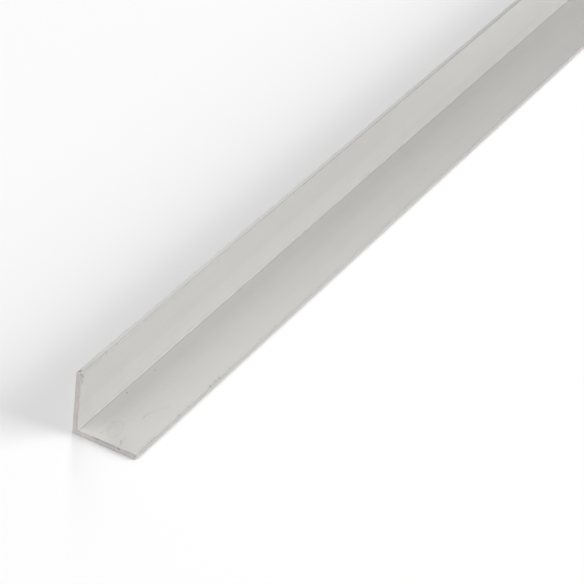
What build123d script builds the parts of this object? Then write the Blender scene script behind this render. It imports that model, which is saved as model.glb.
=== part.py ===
from build123d import *
import os

# Equal-leg aluminium angle: one straight extruded bar of constant L section, sawn square at both ends.
#
# It lies as it would on a floor: one leg is down, the other stands up along its -X side, and the length
# runs along Y. The origin is on the floor, under the middle of the bar. Sizes are in millimetres.

# Section, measured over the outside from the heel, where the backs of the two legs meet
flat_leg = 25.0  # width of the leg that lies on the floor
upright_leg = 25.0  # height of the leg that stands up
wall = 2.0  # thickness of both legs

# Corners that the extrusion die leaves
root_radius = 0.15  # inside corner between the legs
heel_radius = 0.4  # outside corner between the backs of the legs
toe_radius = 0.15  # both corners of each leg's free edge

# Stock length, between the two sawn ends
length = 1000.0

# Sides of the section, across the flat leg
back_x = -flat_leg / 2
toe_x = flat_leg / 2
inside_x = back_x + wall

with BuildPart() as angle_section:
    with BuildSketch(Plane.XZ) as section:
        with BuildLine():
            Polyline(
                (back_x, 0),
                (toe_x, 0),
                (toe_x, wall),
                (inside_x, wall),
                (inside_x, upright_leg),
                (back_x, upright_leg),
                close=True,
            )
        make_face()
        # Free edge of the flat leg, then that of the upright leg, which stands highest in the sketch
        fillet(section.vertices().group_by(Axis.X)[-1], radius=toe_radius)
        fillet(section.vertices().group_by(Axis.Y)[-1], radius=toe_radius)
        fillet(section.vertices().sort_by_distance((back_x, 0))[0], radius=heel_radius)
        fillet(section.vertices().sort_by_distance((inside_x, wall))[0], radius=root_radius)
    # Half of the length goes to each side of the section, so the bar is centred on the origin
    extrude(amount=length / 2, both=True)

angle_section.part.label = "angle_section"

os.makedirs("parts", exist_ok=True)
export_step(angle_section.part, "parts/angle_section.step")
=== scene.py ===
import math

import bmesh
import bpy
from mathutils import Matrix, Vector, geometry, noise


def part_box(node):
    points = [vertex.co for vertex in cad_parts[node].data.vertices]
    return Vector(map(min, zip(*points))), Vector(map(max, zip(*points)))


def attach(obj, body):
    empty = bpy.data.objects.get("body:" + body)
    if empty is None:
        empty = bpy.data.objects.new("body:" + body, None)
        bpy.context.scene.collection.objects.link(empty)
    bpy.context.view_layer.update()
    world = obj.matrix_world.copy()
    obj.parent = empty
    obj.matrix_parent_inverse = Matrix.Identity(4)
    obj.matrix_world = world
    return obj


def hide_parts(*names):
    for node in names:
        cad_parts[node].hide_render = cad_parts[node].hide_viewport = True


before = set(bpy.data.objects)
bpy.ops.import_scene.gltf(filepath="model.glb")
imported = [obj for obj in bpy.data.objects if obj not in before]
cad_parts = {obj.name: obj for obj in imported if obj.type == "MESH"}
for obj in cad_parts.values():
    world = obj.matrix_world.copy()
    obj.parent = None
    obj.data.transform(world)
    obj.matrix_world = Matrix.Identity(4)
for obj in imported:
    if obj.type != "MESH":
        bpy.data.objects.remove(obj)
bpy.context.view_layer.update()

# Lengths below are in millimetres, and become metres where a mesh, lamp, camera or pattern is made
MM = 0.001

# The bar, from the frame
low, high = (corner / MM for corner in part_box("angle_section"))
length = high.y - low.y

# The rest of the section, as the part has it
wall = 2.0
root_radius = 0.15
heel_radius = 0.4
toe_radius = 0.15

# How finely the section's lines are cut up: steps round a corner, along half a free edge and along a leg,
# how many times more steps a leg takes at a saw cut, and rows of faces across the wall of a sawn end
round_steps = 5
edge_steps = 4
leg_steps = 24
finer_at_cut = 5
cap_rows = 8

# Gap between a flat's end and the point that keeps the rounded corner's shading off it
corner_hold = 0.06

# Angle in degrees above which an edge is shaded sharp
sharp_above = 35

# Distance from each saw cut that has the finer rings, and the gap between rings there
cut_zone = 3.6
cut_spacing = 0.15

# Gaps between the rings that lie between those zones: how far from the near end each is used, and its
# size. Rings at knocks may come closer together, but not under the least gap
ring_gaps = ((20, 0.5), (100, 2), (length - cut_zone, 8))
least_gap = 0.1

# How near a point has to be to a line of the section to lie on it
same_line = 0.01

# Shift that gives the far end an uneven pattern of its own
far_end_shift = 90

# Length from the near end that has marks of its own
marked_length = 100


def bar_point(along, across, up):
    """A place measured from the near end, and across and up from the heel."""
    return Vector((low.x + across, low.y + along, low.z + up))


# Edges that take knocks: just under the upper edge of the flat leg's toe, and the inner edge of the
# upright's top, each with the way that a knock presses it
toe_edge = Vector((high.x, wall - 0.3))
toe_press = Vector((-0.5, -0.87))
top_edge = Vector((low.x + wall - 0.15, high.z))
top_press = Vector((-0.87, -0.5))

# Knocks in each, as the photograph shows them: distance from the near end, depth and half width
toe_knocks = (
    (8.5, 0.2, 0.35),
    (10.1, 0.25, 0.4),
    (12.0, 0.2, 0.35),
    (27.8, 0.25, 0.5),
    (34.0, 0.22, 0.35),
    (48.8, 0.33, 0.5),
    (52.4, 0.18, 0.6),
    (55.0, 0.25, 0.5),
    (62.1, 0.2, 0.4),
    (70.0, 0.15, 0.35),
    (84.0, 0.17, 0.35),
    (94.6, 0.18, 0.6),
)
top_knocks = (
    (4.2, 0.1, 0.4),
    (6.0, 0.1, 0.3),
    (12.2, 0.12, 0.4),
    (15.8, 0.17, 0.9),
    (22.0, 0.17, 0.5),
)

# How far from its edge a knock reaches, and how much darker it is drawn for each millimetre of its depth
knock_reach = 0.5
knock_darkening = 4.5

# The near end's outer edge was touched with a file, most at the top: depth there, and reach from the end
file_depth = 0.14
file_reach = 0.5

# Lip of burr that the saw pushed over the inner faces: height, reach from the cut, and size of its lumps
burr_lip = 0.16
burr_reach = 0.16
burr_size = 0.6

# Chips that broke out of it wherever their unevenness is above a threshold: the threshold, depth for 1 above
# it, reach from the cut, size, and the shift that keeps their pattern apart from the lip's
chip_above = 0.56
chip_depth = 1.5
chip_reach = 0.22
chip_size = 0.4
chip_shift = Vector((40, 0, 0))

# Lines left by the saw's teeth across each leg's end: depth, gap between them, and length
saw_line_depth = 0.015
saw_line_gap = 0.25
saw_line_run = 4

# Strip torn out of the flat leg's end along its upper edge: where across the leg it starts and stops, depth,
# least width, how much the width varies, and over what size
torn_from = low.x + 8.2
torn_to = low.x + 17.4
torn_depth = 0.22
torn_width = 0.25
torn_more = 0.45
torn_size = 0.9

# Size of the patches that the saw marks and painted shade lie in
mark_patch = 0.55

# Dark marks at the near end: marks left by the saw, and painted shade under its burr and along the sawn
# face's edges: two ends as distance from the near end, across and up from the heel, then reach to each side,
# strength, and how broken up the mark is
saw_marks_and_shade = (
    ((0, 8.6, 1.9), (0, 13.0, 1.75), 0.42, 0.4, 0.6),
    ((0, 9.6, 1.95), (0, 10.6, 1.9), 0.42, 0.6, 0.3),
    ((0, 13.0, 1.75), (0, 17.0, 1.85), 0.42, 0.5, 0.5),
    ((0, 18.0, 1.95), (0, 18.6, 1.6), 0.4, 0.75, 0.1),
    ((0, 18.8, 1.9), (0, 21.0, 1.95), 0.3, 0.25, 1.0),
    ((0, 21.0, 1.95), (0, 22.2, 1.95), 0.32, 0.55, 0.5),
    ((0, 22.4, 1.9), (0, 24.6, 1.9), 0.3, 0.4, 1.0),
    ((0, 24.8, 1.85), (0, 24.85, 1.3), 0.45, 0.55, 0.2),
    ((0, 2.2, 2.0), (0, 8.6, 1.95), 0.3, 0.25, 1.0),
    ((0, 2.0, 2.2), (0, 2.0, 21.0), 0.28, 0.25, 1.0),
    ((0.1, 1.85, 24.8), (0.5, 2.0, 24.3), 0.5, 0.55, 0.3),
    ((0.7, 2.0, 24.3), (1.5, 2.0, 22.9), 0.6, 0.5, 0.2),
    ((1.5, 2.0, 22.9), (1.0, 2.0, 20.8), 0.55, 0.42, 0.4),
    ((0.3, 2.0, 23.6), (0.4, 2.0, 21.5), 0.5, 0.3, 0.2),
    ((0.9, 0.6, 25.0), (1.9, 0.75, 25.0), 0.52, 0.72, 0.1),
    ((1.0, 1.4, 25.0), (5.5, 1.8, 25.0), 0.4, 0.15, 1.0),
)

# Places where the skin is painted paler or darker, as painted light and shade: a lit patch near the near
# end, shade along the inside corner, and darker or paler faces: distance from the near end, across and up
# from the heel, reach each way, and change of brightness
skin_painted_light = (
    ((1.0, 8.0, 2.0), (6.5, 5.0, 0.5), 0.15),
    ((2.0, 17.5, 2.0), (4.0, 4.0, 0.5), -0.035),
    ((0.0, 3.6, 2.0), (2.6, 2.6, 0.5), 0.15),
    ((1.8, 25.0, 1.2), (1.6, 0.4, 0.8), 0.08),
    ((0.3, 2.1, 2.2), (1.8, 0.35, 0.35), -0.14),
    ((3.5, 1.0, 25.0), (7.0, 2.0, 0.5), -0.09),
    ((2.0, 2.0, 6.0), (6.0, 0.5, 6.0), -0.06),
    ((300.0, 2.0, 5.0), (130.0, 0.5, 6.0), -0.1),
    ((200.0, 2.0, 22.0), (80.0, 0.5, 10.0), -0.06),
    ((300.0, 25.0, 1.0), (80.0, 0.5, 2.0), -0.08),
    ((300.0, 5.0, 2.0), (130.0, 5.0, 0.5), -0.04),
)

# Painted light and shade in the same way on the near end's sawn face
end_painted_light = (
    ((0.0, 4.5, 0.8), (1.0, 4.5, 1.3), 0.125),
    ((0.0, 1.6, 4.0), (1.0, 1.0, 3.0), -0.06),
    ((0.0, 1.0, 11.5), (1.0, 1.5, 2.0), 0.05),
)

# Painted light and shade along the whole bar, paler low on the upright and darker in the inside corner, on
# the toe and on the top: place in the section, across and up from the heel, reach each way, and change of
# brightness
section_painted_light = (
    ((25.0, 1.0), (0.15, 0.9), -0.05),
    ((2.0, 4.0), (0.3, 6.0), 0.065),
    ((2.05, 2.07), (0.15, 0.15), -0.05),
    ((1.0, 25.0), (1.2, 0.3), -0.03),
)

# Thin dark lines along the whole bar, in the inside corner and at the free edges, painted as shade: place in
# the section, reach, strength, and how far from the near end each starts to show
edge_shade_lines = (
    ((2.25, 2.02), 0.35, 0.22, 1.5),
    ((25.0, 1.7), 0.5, 0.36, -1.0),
    ((1.8, 24.9), 0.48, 0.27, -1.0),
    ((0.0, 25.0), 0.3, 0.15, -1.0),
)

# Pits and small spots in the skin: place, radius and strength
skin_specks = (
    ((28.1, 3.8, 2.0), 0.42, 0.9),
    ((45.4, 4.45, 2.0), 0.5, 0.4),
    ((37.2, 12.9, 2.0), 0.4, 0.15),
    ((3.7, 9.2, 2.0), 0.4, 0.25),
)

# The smudge on the flat leg: its middle, its reach across, along and through the leg, its turn in degrees,
# and the size and sideways push of its unevenness
smudge_centre = (8.2, 12.0, 2.0)
smudge_reach = (2.4, 4.7, 0.6)
smudge_turn = 16
smudge_patch = 2.2
smudge_push = 2.4

# Curved scratches: centre of the circle and its radius, middle and half of the length that they take along
# the bar, the way off their leg's face, half width and strength
skin_scratches = (
    ((21.1, 25.88, 2.0), 10.0, 19.3, 1.1, (0, 0, 1), 0.3, 0.2),
    ((14.9, 43.76, 2.0), 28.54, 21.5, 1.3, (0, 0, 1), 0.3, 0.2),
    ((14.9, 43.76, 2.0), 28.54, 26.7, 4.0, (0, 0, 1), 0.27, 0.09),
    ((2.0, 29.25, 2.0), 20.0, 6.2, 3.0, (0, 0, 1), 0.4, 0.1),
    ((11.3, 29.89, 2.0), 15.0, 3.3, 0.95, (0, 0, 1), 0.5, 0.28),
    ((8.7, 38.84, 2.0), 22.0, 4.0, 3.3, (0, 0, 1), 0.45, 0.09),
    ((62.7, 2.0, 27.6), 5.4, 63.0, 4.4, (1, 0, 0), 0.25, 0.1),
)


def straight(start, end, steps, finer=1):
    """Points from start to end, without the first, each with whether the plain rings have it too. A point
    close to each end keeps the shading of the rounded corners off the flat between them."""
    held = corner_hold / (end - start).length
    shares = [(held, True)]
    shares += [(step / (steps * finer), step % finer == 0) for step in range(1, steps * finer)]
    shares += [(1 - held, True), (1, True)]
    return [(start.lerp(end, share), plain) for share, plain in shares]


def rounded(centre, radius, from_degrees, to_degrees):
    """Points round a corner, without the first."""
    made = []
    for step in range(1, round_steps + 1):
        angle = math.radians(from_degrees + (to_degrees - from_degrees) * step / round_steps)
        made.append((centre + radius * Vector((math.cos(angle), math.sin(angle))), True))
    return made


def section_lines():
    """The L's outside line and inside line, both from the middle of the upright leg's edge to the middle
    of the flat leg's edge, and with as many points each, so that they pair off across the wall."""
    back, toe, top = low.x, high.x, high.z
    inside = back + wall
    top_middle = Vector((back + wall / 2, top))
    toe_middle = Vector((toe, wall / 2))

    outside = [(top_middle, True)]
    outside += straight(top_middle, Vector((back + toe_radius, top)), edge_steps)
    outside += rounded(Vector((back + toe_radius, top - toe_radius)), toe_radius, 90, 180)
    outside += straight(outside[-1][0], Vector((back, heel_radius)), leg_steps, finer_at_cut)
    outside += rounded(Vector((back + heel_radius, heel_radius)), heel_radius, 180, 270)
    outside += straight(outside[-1][0], Vector((toe - toe_radius, 0)), leg_steps, finer_at_cut)
    outside += rounded(Vector((toe - toe_radius, toe_radius)), toe_radius, -90, 0)
    outside += straight(outside[-1][0], toe_middle, edge_steps)

    within = [(top_middle, True)]
    within += straight(top_middle, Vector((inside - toe_radius, top)), edge_steps)
    within += rounded(Vector((inside - toe_radius, top - toe_radius)), toe_radius, 90, 0)
    within += straight(within[-1][0], Vector((inside, wall + root_radius)), leg_steps, finer_at_cut)
    within += rounded(Vector((inside + root_radius, wall + root_radius)), root_radius, 180, 270)
    within += straight(within[-1][0], Vector((toe - toe_radius, wall)), leg_steps, finer_at_cut)
    within += rounded(Vector((toe - toe_radius, wall - toe_radius)), toe_radius, 90, 0)
    within += straight(within[-1][0], toe_middle, edge_steps)
    return outside, within


def ring_distances():
    """Distances from the near end at which the section is repeated, close together at knocks."""
    plain = [cut_zone]
    for until, spacing in ring_gaps:
        steps = math.ceil((until - plain[-1]) / spacing)
        start = plain[-1]
        plain += [start + (until - start) * step / steps for step in range(1, steps + 1)]
    # Nine rings over each knock, to twice its half width on each side
    for at, _, half_width in toe_knocks + top_knocks:
        plain += [at + half_width * step / 2 for step in range(-4, 5)]
    plain = sorted(distance for distance in plain if distance >= cut_zone)
    spaced = [plain[0]]
    for distance in plain[1:-1]:
        if distance - spaced[-1] > least_gap:
            spaced.append(distance)
    return spaced + [length - cut_zone]


def ragged(place, size):
    """Uneven value from 0 to 1 that changes over about this size."""
    return 0.5 + 0.5 * noise.noise(place / size)


def knock_depth(point, distance, edge, knocks):
    """How deep the knocks in this edge press the section's point at this distance from the near end."""
    near_edge = 1 - (point - edge).length / knock_reach
    if near_edge <= 0:
        return 0
    return near_edge * sum(deep * math.exp(-(((distance - at) / wide) ** 2)) for at, deep, wide in knocks)


def burr_height(point, from_cut, end_shift):
    """How far the saw's burr stands on the inner faces, with the chips where it broke away."""
    on_flat_leg = abs(point.y - wall) < same_line and point.x > low.x + wall + root_radius
    on_upright = abs(point.x - low.x - wall) < same_line and point.y > wall + root_radius
    if not (on_flat_leg or on_upright):
        return 0
    place = Vector((point.x, point.y, end_shift))
    lip = burr_lip * ragged(place, burr_size) * math.exp(-((from_cut / burr_reach) ** 2))
    broken = max(0, ragged(place + chip_shift, chip_size) - chip_above) * chip_depth
    return lip - broken * math.exp(-((from_cut / chip_reach) ** 2))


def settled(point, outward, distance):
    """The section's point at this distance from the near end, with its knocks, burr and filed edge."""
    from_cut = min(distance, length - distance)
    moved = point + outward * burr_height(point, from_cut, 0 if distance < length / 2 else far_end_shift)
    # The upright leg's outer face, which faces away from the corner
    if point.x < low.x + wall / 2 and outward.x < -0.5:
        filed = file_depth * point.y / high.z * math.exp(-((distance / file_reach) ** 2))
        moved = moved + Vector((filed, 0))
    moved = moved + toe_press * knock_depth(point, distance, toe_edge, toe_knocks)
    return moved + top_press * knock_depth(point, distance, top_edge, top_knocks)


def cut_depth(point, end_shift):
    """How far the sawn face lies inside the bar's end: fine saw lines, and the strip torn from its edge."""
    place = Vector((point.x, point.y, end_shift))
    if point.x < low.x + wall:
        lines = ragged(Vector((point.x / saw_line_gap, point.y / saw_line_run, end_shift)), 1)
    else:
        lines = ragged(Vector((point.x / saw_line_run, point.y / saw_line_gap, end_shift)), 1)
    along = min(point.x - torn_from, torn_to - point.x)
    under_edge = 1 - (wall - point.y) / (torn_width + torn_more * ragged(place, torn_size))
    torn = torn_depth * min(1, along) * under_edge if along > 0 and under_edge > 0 else 0
    return saw_line_depth * lines + torn


def marks_and_shade_at(place):
    """How much darker the metal is drawn at a place, from 0 to 1: dark saw marks, painted shade along the
    burr and the sawn face's edges, and darkening in the knocks.
    """
    most = 0
    for start, end, reach, strength, broken in saw_marks_and_shade:
        start, end = bar_point(*start), bar_point(*end)
        nearest, share = geometry.intersect_point_line(place, start, end)
        nearest = start.lerp(end, min(1, max(0, share)))
        near = 1 - (place - nearest).length / reach
        if near > 0:
            # Clean where the unevenness is below a third, and whole where it is above two thirds. A mark
            # has its full strength over the inner third of its reach
            patchy = min(1, max(0, 3 * ragged(place, mark_patch) - 1))
            most = max(most, strength * min(1, 1.5 * near) * (1 - broken + broken * patchy))
    for edge, knocks in ((toe_edge, toe_knocks), (top_edge, top_knocks)):
        depth = knock_depth(Vector((place.x, place.z)), place.y - low.y, edge, knocks)
        most = max(most, depth * knock_darkening)
    return min(1, most)


def painted_light_at(place, sawn):
    """How much paler or darker than the rest the metal is painted at a place, as painted light and shade, on
    the skin or on a sawn end.
    """
    change = 0
    for centre, reach, most in end_painted_light if sawn else skin_painted_light:
        apart = place - bar_point(*centre)
        apart = (apart.y / reach[0]) ** 2 + (apart.x / reach[1]) ** 2 + (apart.z / reach[2]) ** 2
        change += most * math.exp(-apart)
    if sawn:
        return 1 + change
    for centre, reach, most in section_painted_light:
        across, up = (place.x - low.x - centre[0]) / reach[0], (place.z - low.z - centre[1]) / reach[1]
        change += most * math.exp(-(across**2) - up**2)
    return 1 + change


class BarMesh:
    """The bar's mesh as it grows, with its dirt and painted shade, and the painted light and shade of the
    metal's tone, at each of its points.
    """

    def __init__(self):
        self.mesh = bmesh.new()
        # Dirt and painted shade, as a share of the dark colour
        self.dirt_and_shade = self.mesh.verts.layers.float.new("dirt_and_shade")
        # The tone layer is painted light and shade, as a factor on the colour
        self.tone = self.mesh.verts.layers.float.new("tone")

        # The section's points all the way round, and the way out of the metal at each
        outside, within = section_lines()
        ring = outside + within[-2:0:-1]
        self.last_outside = len(outside) - 1
        self.points = [point for point, plain in ring]
        self.outward = []
        for before, after in zip(self.points[-1:] + self.points[:-1], self.points[1:] + self.points[:1]):
            self.outward.append(Vector((after.y - before.y, before.x - after.x)).normalized())
        self.every = list(range(len(ring)))
        self.plain = [i for i in self.every if ring[i][1]]

    def add_point(self, point, distance, sawn):
        """One point, from its place in the section and its distance from the near end."""
        place = Vector((point.x, low.y + distance, point.y))
        made = self.mesh.verts.new(place * MM)
        made[self.dirt_and_shade] = marks_and_shade_at(place) if distance < marked_length else 0
        made[self.tone] = painted_light_at(place, sawn)
        return made

    def add_face(self, points, material_index=0):
        """One face, of skin or of sawn metal. A point that is given twice counts once."""
        points = [point for place, point in enumerate(points) if point not in points[:place]]
        self.mesh.faces.new(points).material_index = material_index

    def add_ring(self, distance, chosen, end_shift=None):
        """One ring of points, by their place in the section. An end shift marks a ring on a saw cut."""
        sawn = end_shift is not None
        made = {}
        for i in chosen:
            inset = cut_depth(self.points[i], end_shift) if sawn else 0
            along = distance + inset if distance < length / 2 else distance - inset
            made[i] = self.add_point(settled(self.points[i], self.outward[i], distance), along, sawn)
        return made

    def join_rings(self, near, far):
        """The skin between two rings. One of them may lack the finer points that the other has."""
        for i, j in zip(self.plain, self.plain[1:] + self.plain[:1]):
            between = list(range(i, j + 1)) if j > i else [i, j]
            near_side = [near[k] for k in between if k in near]
            far_side = [far[k] for k in between if k in far]
            if len(near_side) == len(far_side):
                for k in range(len(near_side) - 1):
                    self.add_face((near_side[k], near_side[k + 1], far_side[k + 1], far_side[k]))
            else:
                self.add_face(near_side + far_side[::-1])

    def close_end(self, ring, distance, end_shift):
        """The sawn face inside an end's ring, in columns that each cross the wall."""
        edges = [settled(point, out, distance) for point, out in zip(self.points, self.outward)]
        columns = []
        for i in range(self.last_outside + 1):
            across = i if i in (0, self.last_outside) else len(self.points) - i
            column = [ring[i]]
            for row in range(1, cap_rows):
                if i in (0, self.last_outside):
                    column.append(ring[i])
                    continue
                point = edges[i].lerp(edges[across], row / cap_rows)
                inset = cut_depth(point, end_shift)
                column.append(self.add_point(point, inset if distance == 0 else length - inset, True))
            column.append(ring[across])
            columns.append(column)
        for one, two in zip(columns, columns[1:]):
            for row in range(cap_rows):
                self.add_face((one[row], two[row], two[row + 1], one[row + 1]), 1)


def bar_mesh():
    """The whole bar: rings of the section from end to end, closed by a sawn face at each."""
    bar = BarMesh()
    cut_rings = round(cut_zone / cut_spacing)
    near_zone = [cut_spacing * step for step in range(cut_rings)]
    far_zone = [length - distance for distance in near_zone[::-1]]
    rings = [bar.add_ring(0, bar.every, end_shift=0)]
    rings += [bar.add_ring(distance, bar.every) for distance in near_zone[1:]]
    rings += [bar.add_ring(distance, bar.plain) for distance in ring_distances()]
    rings += [bar.add_ring(distance, bar.every) for distance in far_zone[:-1]]
    rings.append(bar.add_ring(length, bar.every, end_shift=far_end_shift))
    for near, far in zip(rings, rings[1:]):
        bar.join_rings(near, far)
    bar.close_end(rings[0], 0, 0)
    bar.close_end(rings[-1], length, far_end_shift)

    bmesh.ops.recalc_face_normals(bar.mesh, faces=bar.mesh.faces)
    made = bpy.data.meshes.new("angle_bar")
    bar.mesh.to_mesh(made)
    bar.mesh.free()
    made.shade_smooth()
    made.set_sharp_from_angle(angle=math.radians(sharp_above))
    return made


def linear(hex_colour, alpha=1.0):
    """An sRGB hex colour as the linear values that a shader works in."""
    made = []
    for place in (1, 3, 5):
        level = int(hex_colour[place : place + 2], 16) / 255
        made.append(level / 12.92 if level <= 0.04045 else ((level + 0.055) / 1.055) ** 2.4)
    return (*made, alpha)


def add(material, kind, settings=None, inputs=None):
    """Adds one node. Settings are its own choices; inputs are its sockets' values, or the node or socket
    that feeds them. A node feeds by its first output in use."""
    made = material.node_tree.nodes.new(kind)
    for name, value in (settings or {}).items():
        setattr(made, name, value)
    for name, value in (inputs or {}).items():
        socket = made.inputs[name]
        if isinstance(value, bpy.types.Node):
            value = next(output for output in value.outputs if output.enabled)
        if isinstance(value, bpy.types.NodeSocket):
            material.node_tree.links.new(value, socket)
        else:
            socket.default_value = value
    return made


def new_material(name):
    """A material without nodes yet."""
    made = bpy.data.materials.new(name)
    made.use_nodes = True
    made.node_tree.nodes.clear()
    return made


def specks(material, place):
    """Small dark pits in the flat leg, as a share of dirt."""
    share = 0.0
    for centre, radius, strength in skin_specks:
        apart = add(
            material,
            "ShaderNodeVectorMath",
            {"operation": "DISTANCE"},
            {0: place, 1: bar_point(*centre) * MM},
        ).outputs["Value"]
        speck = add(
            material,
            "ShaderNodeMapRange",
            {"interpolation_type": "SMOOTHSTEP"},
            {"Value": apart, "From Min": radius * MM, "From Max": 0.4 * radius * MM, "To Max": strength},
        )
        share = add(material, "ShaderNodeMath", {"operation": "MAXIMUM"}, {0: speck, 1: share})
    return share


def smudge(material, place):
    """A patchy oval on the flat leg, as from a wet finger, its thin rim a little darker than its middle."""
    wavy = add(
        material,
        "ShaderNodeTexNoise",
        inputs={"Vector": place, "Scale": 1 / (smudge_patch * MM), "Detail": 3.0},
    )
    shaken = add(
        material,
        "ShaderNodeVectorMath",
        {"operation": "MULTIPLY_ADD"},
        {0: wavy.outputs["Color"], 1: (smudge_push * MM, smudge_push * MM, 0), 2: place},
    )
    # The noise is 0.5 on average, so it moves the rim by half of its push
    pushed = Vector((smudge_push / 2, smudge_push / 2, 0))
    laid = add(
        material,
        "ShaderNodeMapping",
        {"vector_type": "TEXTURE"},
        {
            "Vector": shaken,
            "Location": (bar_point(*smudge_centre) + pushed) * MM,
            "Rotation": (0, 0, math.radians(smudge_turn)),
            "Scale": Vector(smudge_reach) * MM,
        },
    )
    out = add(material, "ShaderNodeVectorMath", {"operation": "LENGTH"}, {0: laid}).outputs["Value"]
    from_rim = add(
        material,
        "ShaderNodeMath",
        {"operation": "ABSOLUTE"},
        {0: add(material, "ShaderNodeMath", {"operation": "SUBTRACT"}, {0: out, 1: 1.0})},
    )
    rim = add(
        material,
        "ShaderNodeMapRange",
        {"interpolation_type": "SMOOTHSTEP"},
        {"Value": from_rim, "From Min": 0.24, "From Max": 0.04, "To Max": 0.085},
    )
    middle = add(
        material,
        "ShaderNodeMapRange",
        {"interpolation_type": "SMOOTHSTEP"},
        {"Value": out, "From Min": 1.05, "From Max": 0.8, "To Max": 0.045},
    )
    both = add(material, "ShaderNodeMath", {"operation": "MAXIMUM"}, {0: rim, 1: middle})
    uneven = add(
        material,
        "ShaderNodeMapRange",
        inputs={"Value": wavy, "From Min": 0.35, "From Max": 0.65, "To Min": 0.45, "To Max": 1.4},
    )
    return add(material, "ShaderNodeMath", {"operation": "MULTIPLY"}, {0: both, 1: uneven})


def curved_scratches(material, place):
    """Fine scratches that each follow part of a circle on one leg, as a share of dirt."""
    share = 0.0
    apart = add(material, "ShaderNodeSeparateXYZ", inputs={"Vector": place})
    for centre, radius, middle, half_span, off_leg, half_width, strength in skin_scratches:
        across = Vector((1, 1, 1)) - Vector(off_leg)
        from_centre = add(
            material,
            "ShaderNodeVectorMath",
            {"operation": "SUBTRACT"},
            {0: place, 1: bar_point(*centre) * MM},
        )
        on_leg = add(
            material, "ShaderNodeVectorMath", {"operation": "MULTIPLY"}, {0: from_centre, 1: across}
        )
        out = add(material, "ShaderNodeVectorMath", {"operation": "LENGTH"}, {0: on_leg}).outputs["Value"]
        height = add(
            material, "ShaderNodeVectorMath", {"operation": "DOT_PRODUCT"}, {0: from_centre, 1: off_leg}
        ).outputs["Value"]
        from_line = add(
            material,
            "ShaderNodeMath",
            {"operation": "ABSOLUTE"},
            {0: add(material, "ShaderNodeMath", {"operation": "SUBTRACT"}, {0: out, 1: radius * MM})},
        )
        line = add(
            material,
            "ShaderNodeMapRange",
            {"interpolation_type": "SMOOTHSTEP"},
            {
                "Value": from_line,
                "From Min": half_width * MM,
                "From Max": 0.3 * half_width * MM,
                "To Max": strength,
            },
        )
        along = add(
            material,
            "ShaderNodeMath",
            {"operation": "COMPARE"},
            {0: apart.outputs["Y"], 1: (low.y + middle) * MM, 2: half_span * MM},
        )
        # Only close to the face of its leg
        at_leg = add(material, "ShaderNodeMath", {"operation": "COMPARE"}, {0: height, 1: 0.0, 2: 0.3 * MM})
        line = add(material, "ShaderNodeMath", {"operation": "MULTIPLY"}, {0: line, 1: along})
        line = add(material, "ShaderNodeMath", {"operation": "MULTIPLY"}, {0: line, 1: at_leg})
        share = add(material, "ShaderNodeMath", {"operation": "MAXIMUM"}, {0: line, 1: share})
    return share


def painted_edge_shade(material, place):
    """The thin dark lines of painted shade along the inside corner and the free edges, as a share of dirt
    and shade.
    """
    share = 0.0
    along = add(material, "ShaderNodeSeparateXYZ", inputs={"Vector": place}).outputs["Y"]
    for centre, reach, strength, start in edge_shade_lines:
        line = bar_point(0, *centre) * MM
        from_line = add(material, "ShaderNodeVectorMath", {"operation": "SUBTRACT"}, {0: place, 1: line})
        section_only = add(
            material, "ShaderNodeVectorMath", {"operation": "MULTIPLY"}, {0: from_line, 1: (1, 0, 1)}
        )
        apart = add(
            material, "ShaderNodeVectorMath", {"operation": "LENGTH"}, {0: section_only}
        ).outputs["Value"]
        strength = add(
            material,
            "ShaderNodeMapRange",
            {"interpolation_type": "SMOOTHSTEP"},
            {
                "Value": along,
                "From Min": (low.y + start - 1) * MM,
                "From Max": (low.y + start + 1) * MM,
                "To Max": strength,
            },
        )
        edge = add(
            material,
            "ShaderNodeMapRange",
            {"interpolation_type": "SMOOTHSTEP"},
            {"Value": apart, "From Min": reach * MM, "From Max": 0.4 * reach * MM, "To Max": strength},
        )
        share = add(material, "ShaderNodeMath", {"operation": "MAXIMUM"}, {0: edge, 1: share})
    return share


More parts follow.
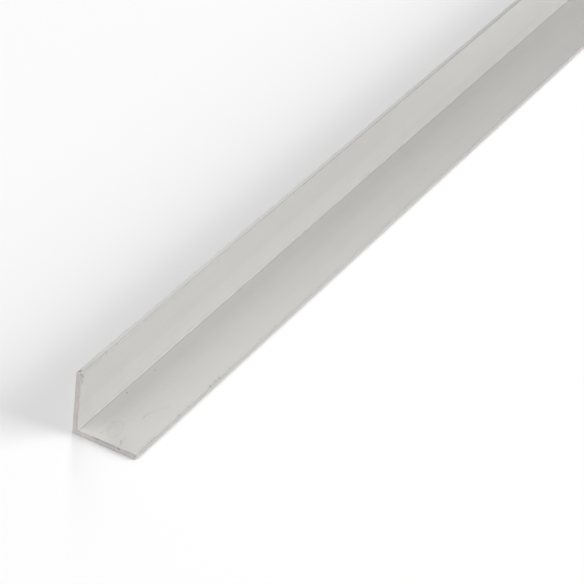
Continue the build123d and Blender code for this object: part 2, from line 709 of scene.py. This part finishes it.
# Satin anodised aluminium: an extruded bar etched matt in caustic and given a clear anodic film. The eye
# sees a pale, nearly neutral metal with a broad soft sheen, faint lines along it from the die, a fine
# etched grain and slight clouding, with no bright reflections.
def anodised_skin():
    made = new_material("satin_anodised_aluminium")
    place = add(made, "ShaderNodeTexCoord").outputs["Object"]

    # Each pattern's size each way in millimetres, detail, shift that keeps it apart, and share of the
    # tone. Die lines are 0.1 to 0.3 mm apart and etched grain is about 0.05 mm: both are drawn coarser,
    # to show
    uneven = {}
    tone = 0.0
    for name, size, detail, shift, share in (
        ("die_lines", (0.6, 260, 0.6), 3.0, 0.0, 0.3),
        ("streaks", (4, 420, 4), 2.0, 7.0, 0.3),
        ("etched_grain", (0.35, 0.35, 0.35), 2.0, 3.0, 0.2),
        ("clouding", (9, 14, 9), 2.0, 11.0, 0.2),
    ):
        scaled = add(
            made,
            "ShaderNodeMapping",
            inputs={
                "Vector": place,
                "Location": (shift, shift, shift),
                "Scale": tuple(1 / (each * MM) for each in size),
            },
        )
        uneven[name] = add(
            made, "ShaderNodeTexNoise", inputs={"Vector": scaled, "Scale": 1.0, "Detail": detail}
        )
        tone = add(
            made, "ShaderNodeMath", {"operation": "MULTIPLY_ADD"}, {0: uneven[name], 1: share, 2: tone}
        )
    colour = add(
        made,
        "ShaderNodeMix",
        {"data_type": "RGBA"},
        {"Factor": tone, "A": linear("#C1C0BE"), "B": linear("#CFCECC")},
    )
    # The tone attribute paints light and shade onto the colour
    painted_skin_light = add(made, "ShaderNodeAttribute", {"attribute_name": "tone"}).outputs["Fac"]
    colour = add(made, "ShaderNodeVectorMath", {"operation": "SCALE"}, {0: colour, "Scale": painted_skin_light})

    dirt_and_shade = add(made, "ShaderNodeAttribute", {"attribute_name": "dirt_and_shade"}).outputs["Fac"]
    for draw in (specks, smudge, curved_scratches, painted_edge_shade):
        dirt_and_shade = add(made, "ShaderNodeMath", {"operation": "MAXIMUM"}, {0: dirt_and_shade, 1: draw(made, place)})
    # Dirt and painted shade both darken toward this brown grey
    colour = add(
        made,
        "ShaderNodeMix",
        {"data_type": "RGBA"},
        {"Factor": dirt_and_shade, "A": colour, "B": linear("#7B7168")},
    )

    roughness = add(
        made,
        "ShaderNodeMapRange",
        inputs={"Value": tone, "From Min": 0.2, "From Max": 0.8, "To Min": 0.57, "To Max": 0.53},
    )
    height = add(
        made,
        "ShaderNodeMath",
        {"operation": "ADD"},
        {0: uneven["die_lines"], 1: uneven["etched_grain"]},
    )
    relief = add(
        made,
        "ShaderNodeBump",
        inputs={"Strength": 0.35, "Distance": 0.012 * MM, "Height": height},
    )
    skin = add(
        made,
        "ShaderNodeBsdfPrincipled",
        inputs={"Base Color": colour, "Metallic": 1.0, "Roughness": roughness, "Normal": relief},
    )
    add(made, "ShaderNodeOutputMaterial", inputs={"Surface": skin})
    return made


# Sawn aluminium: the bare metal where a circular saw went through. The eye sees a duller, slightly pink grey
# than the anodised skin, with short lines left by the teeth, dark saw marks with painted shade along the
# burr at its edge, and painted shade on the upright leg's part.
def sawn_face():
    made = new_material("sawn_aluminium")
    place = add(made, "ShaderNodeTexCoord").outputs["Object"]

    # Tooth lines are about 0.1 mm apart; drawn 0.35 mm apart to show
    uneven = {}
    tone = 0.0
    for name, size, detail, shift, share in (
        ("tooth_lines", (0.35, 1, 2.4), 3.0, 5.0, 0.5),
        ("smears", (0.9, 1, 0.9), 2.0, 9.0, 0.5),
    ):
        scaled = add(
            made,
            "ShaderNodeMapping",
            inputs={
                "Vector": place,
                "Location": (shift, shift, shift),
                "Scale": tuple(1 / (each * MM) for each in size),
            },
        )
        uneven[name] = add(
            made, "ShaderNodeTexNoise", inputs={"Vector": scaled, "Scale": 1.0, "Detail": detail}
        )
        tone = add(
            made, "ShaderNodeMath", {"operation": "MULTIPLY_ADD"}, {0: uneven[name], 1: share, 2: tone}
        )
    # The upright leg's part of the end is painted darker than the flat one's, as painted shade
    up_the_leg = add(
        made,
        "ShaderNodeMapRange",
        inputs={
            "Value": add(made, "ShaderNodeSeparateXYZ", inputs={"Vector": place}).outputs["Z"],
            "From Min": 2 * MM,
            "From Max": 7 * MM,
        },
    )
    darker, paler = (
        add(made, "ShaderNodeMix", {"data_type": "RGBA"}, {"Factor": up_the_leg, "A": flat, "B": upright})
        for flat, upright in (
            (linear("#C8C3C3"), linear("#BFB8B8")),
            (linear("#E4DFDF"), linear("#D9D2D2")),
        )
    )
    colour = add(made, "ShaderNodeMix", {"data_type": "RGBA"}, {"Factor": tone, "A": darker, "B": paler})
    # The tone attribute here paints light and shade onto the sawn end's colour
    painted_end_light = add(made, "ShaderNodeAttribute", {"attribute_name": "tone"}).outputs["Fac"]
    colour = add(made, "ShaderNodeVectorMath", {"operation": "SCALE"}, {0: colour, "Scale": painted_end_light})
    dirt_and_shade = add(made, "ShaderNodeAttribute", {"attribute_name": "dirt_and_shade"}).outputs["Fac"]
    # Dirt and painted shade darken toward the same brown grey
    colour = add(
        made,
        "ShaderNodeMix",
        {"data_type": "RGBA"},
        {"Factor": dirt_and_shade, "A": colour, "B": linear("#7B7168")},
    )
    relief = add(
        made,
        "ShaderNodeBump",
        inputs={"Strength": 0.5, "Distance": 0.02 * MM, "Height": uneven["tooth_lines"]},
    )
    face = add(
        made,
        "ShaderNodeBsdfPrincipled",
        inputs={"Base Color": colour, "Metallic": 1.0, "Roughness": 0.55, "Normal": relief},
    )
    add(made, "ShaderNodeOutputMaterial", inputs={"Surface": face})
    return made


# Matt studio card: a white painted board. The eye sees it as plain and pale, with no sheen.
def pale_floor():
    made = new_material("matt_white_card")
    card = add(
        made,
        "ShaderNodeBsdfPrincipled",
        inputs={"Base Color": linear("#F9F9F9"), "Roughness": 0.9},
    )
    add(made, "ShaderNodeOutputMaterial", inputs={"Surface": card})
    return made


bar = bpy.data.objects.new("angle_bar", bar_mesh())
bpy.context.scene.collection.objects.link(bar)
bar.data.materials.append(anodised_skin())
bar.data.materials.append(sawn_face())
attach(bar, "root")
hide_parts("angle_section")

# Camera where the photograph was taken from: its place, how far it is turned round the bar, raised and
# tilted, in degrees, and its lens
camera_place = Vector((366.25, -1131.69, 550.84))
camera_azimuth = 25.676
camera_elevation = 33.435
camera_roll = -6.752
camera_lens = 168.38
camera_sensor = 36.0


def photo_camera():
    """The camera that sees the bar as the photograph does."""
    azimuth, elevation, roll = map(math.radians, (camera_azimuth, camera_elevation, camera_roll))
    back = Vector((math.sin(azimuth), -math.cos(azimuth), 0)) * math.cos(elevation)
    back.z = math.sin(elevation)
    level_right = Vector((math.cos(azimuth), math.sin(azimuth), 0))
    level_up = back.cross(level_right)
    right = level_right * math.cos(roll) - level_up * math.sin(roll)
    up = level_up * math.cos(roll) + level_right * math.sin(roll)
    made = bpy.data.cameras.new("photo_camera")
    made.lens = camera_lens
    made.sensor_width = camera_sensor
    made.clip_start = 0.01
    made.clip_end = 50
    placed = bpy.data.objects.new("photo_camera", made)
    turned = Matrix((right, up, back)).transposed().to_4x4()
    placed.matrix_world = Matrix.Translation(camera_place * MM) @ turned
    bpy.context.scene.collection.objects.link(placed)
    return placed


bpy.context.scene.camera = photo_camera()

# Half of the floor's side, in metres
half = 6.0
floor_mesh = bpy.data.meshes.new("floor")
floor_corners = ((-half, -half, 0), (half, -half, 0), (half, half, 0), (-half, half, 0))
floor_mesh.from_pydata(floor_corners, [], [(0, 1, 2, 3)])
floor = bpy.data.objects.new("floor", floor_mesh)
floor_mesh.materials.append(pale_floor())
bpy.context.scene.collection.objects.link(floor)

# Lamps look at the part of the bar that the photograph shows. Their place and sizes are in metres, their
# angles in degrees and their power in watts
lamp_aim = Vector((0, -0.3, 0))


def soft_lamp(name, azimuth, elevation, distance, width, height, power):
    """A soft box that looks at the bar, azimuth measured as the camera's is."""
    turn, rise = math.radians(azimuth), math.radians(elevation)
    away = Vector((math.sin(turn) * math.cos(rise), -math.cos(turn) * math.cos(rise), math.sin(rise)))
    lamp = bpy.data.lights.new(name, "AREA")
    lamp.shape = "RECTANGLE"
    lamp.size = width
    lamp.size_y = height
    lamp.energy = power
    placed = bpy.data.objects.new(name, lamp)
    placed.location = lamp_aim + away * distance
    placed.rotation_euler = away.to_track_quat("Z", "Y").to_euler()
    bpy.context.scene.collection.objects.link(placed)


soft_lamp("window_lamp", -27, 49, 3.0, 0.52, 2.55, 35.3)
soft_lamp("side_lamp", 117, 22, 3.0, 2.8, 2.3, 102)
soft_lamp("back_lamp", 214, 46, 3.0, 0.42, 3.9, 25)

studio = bpy.data.worlds.new("studio")
bpy.context.scene.world = studio
studio.use_nodes = True
studio.node_tree.nodes["Background"].inputs["Color"].default_value = (1, 1, 1, 1)
studio.node_tree.nodes["Background"].inputs["Strength"].default_value = 0.28

bpy.context.scene.view_settings.view_transform = "Standard"
